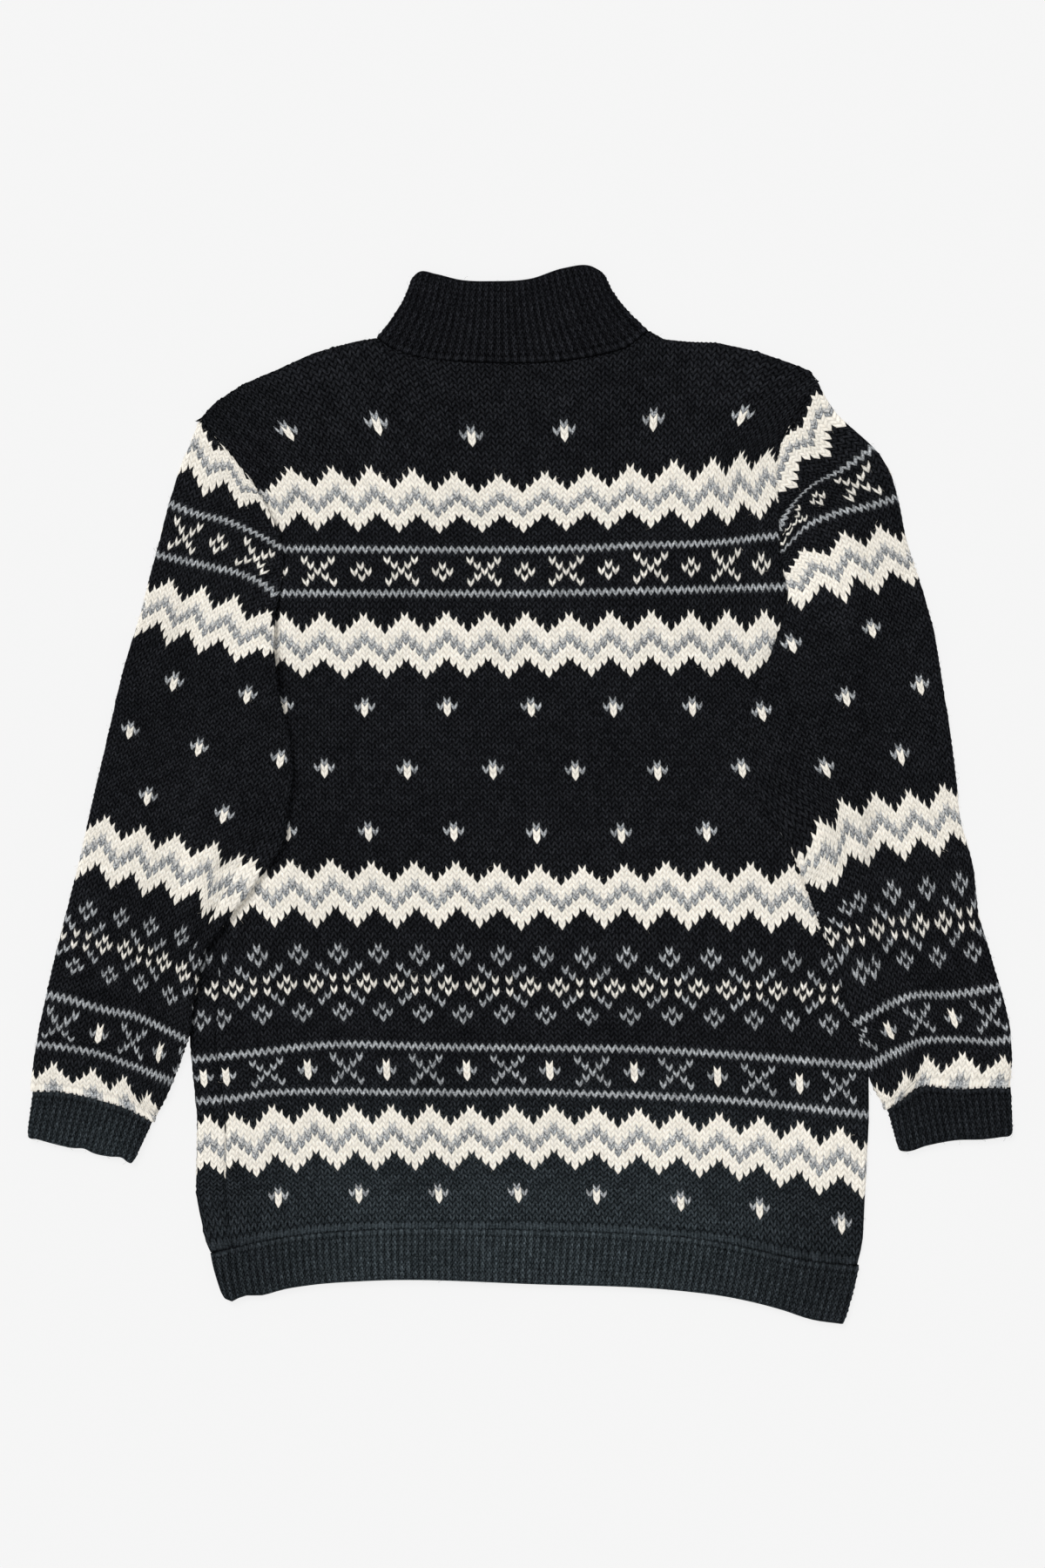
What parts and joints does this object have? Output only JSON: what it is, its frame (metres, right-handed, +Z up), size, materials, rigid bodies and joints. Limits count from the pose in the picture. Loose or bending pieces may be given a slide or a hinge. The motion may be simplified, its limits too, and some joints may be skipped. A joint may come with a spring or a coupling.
{
  "type": "fair isle sweater",
  "caption": "Long-sleeved stranded-knit pullover with a ribbed mock neck, hem and cuffs, laid flat with its back up and both sleeves folded down over its sides.",
  "frame": {"origin": "on the surface it lies on, below the middle of its outline", "axes": "+X to the right of the pullover as seen from above, +Y from the hem to the collar, +Z up from the surface"},
  "size_m": [0.812, 0.8734, 0.014],
  "materials": {
    "stranded_knit": "brushed wool in stranded stocking stitch, black ground with cream and grey traditional bands, matt, slightly fuzzy",
    "black_rib": "black heathered wool in one-by-one rib, matt, slightly fuzzy"
  },
  "bodies": {
    "root": {"back_panel": "stranded_knit", "front_panel": "stranded_knit", "sleeve_left": "stranded_knit", "sleeve_right": "stranded_knit", "collar": "black_rib", "hem_rib_back": "black_rib", "hem_rib_front": "black_rib", "cuff_left": "black_rib", "cuff_right": "black_rib"}
  },
  "joints": []
}
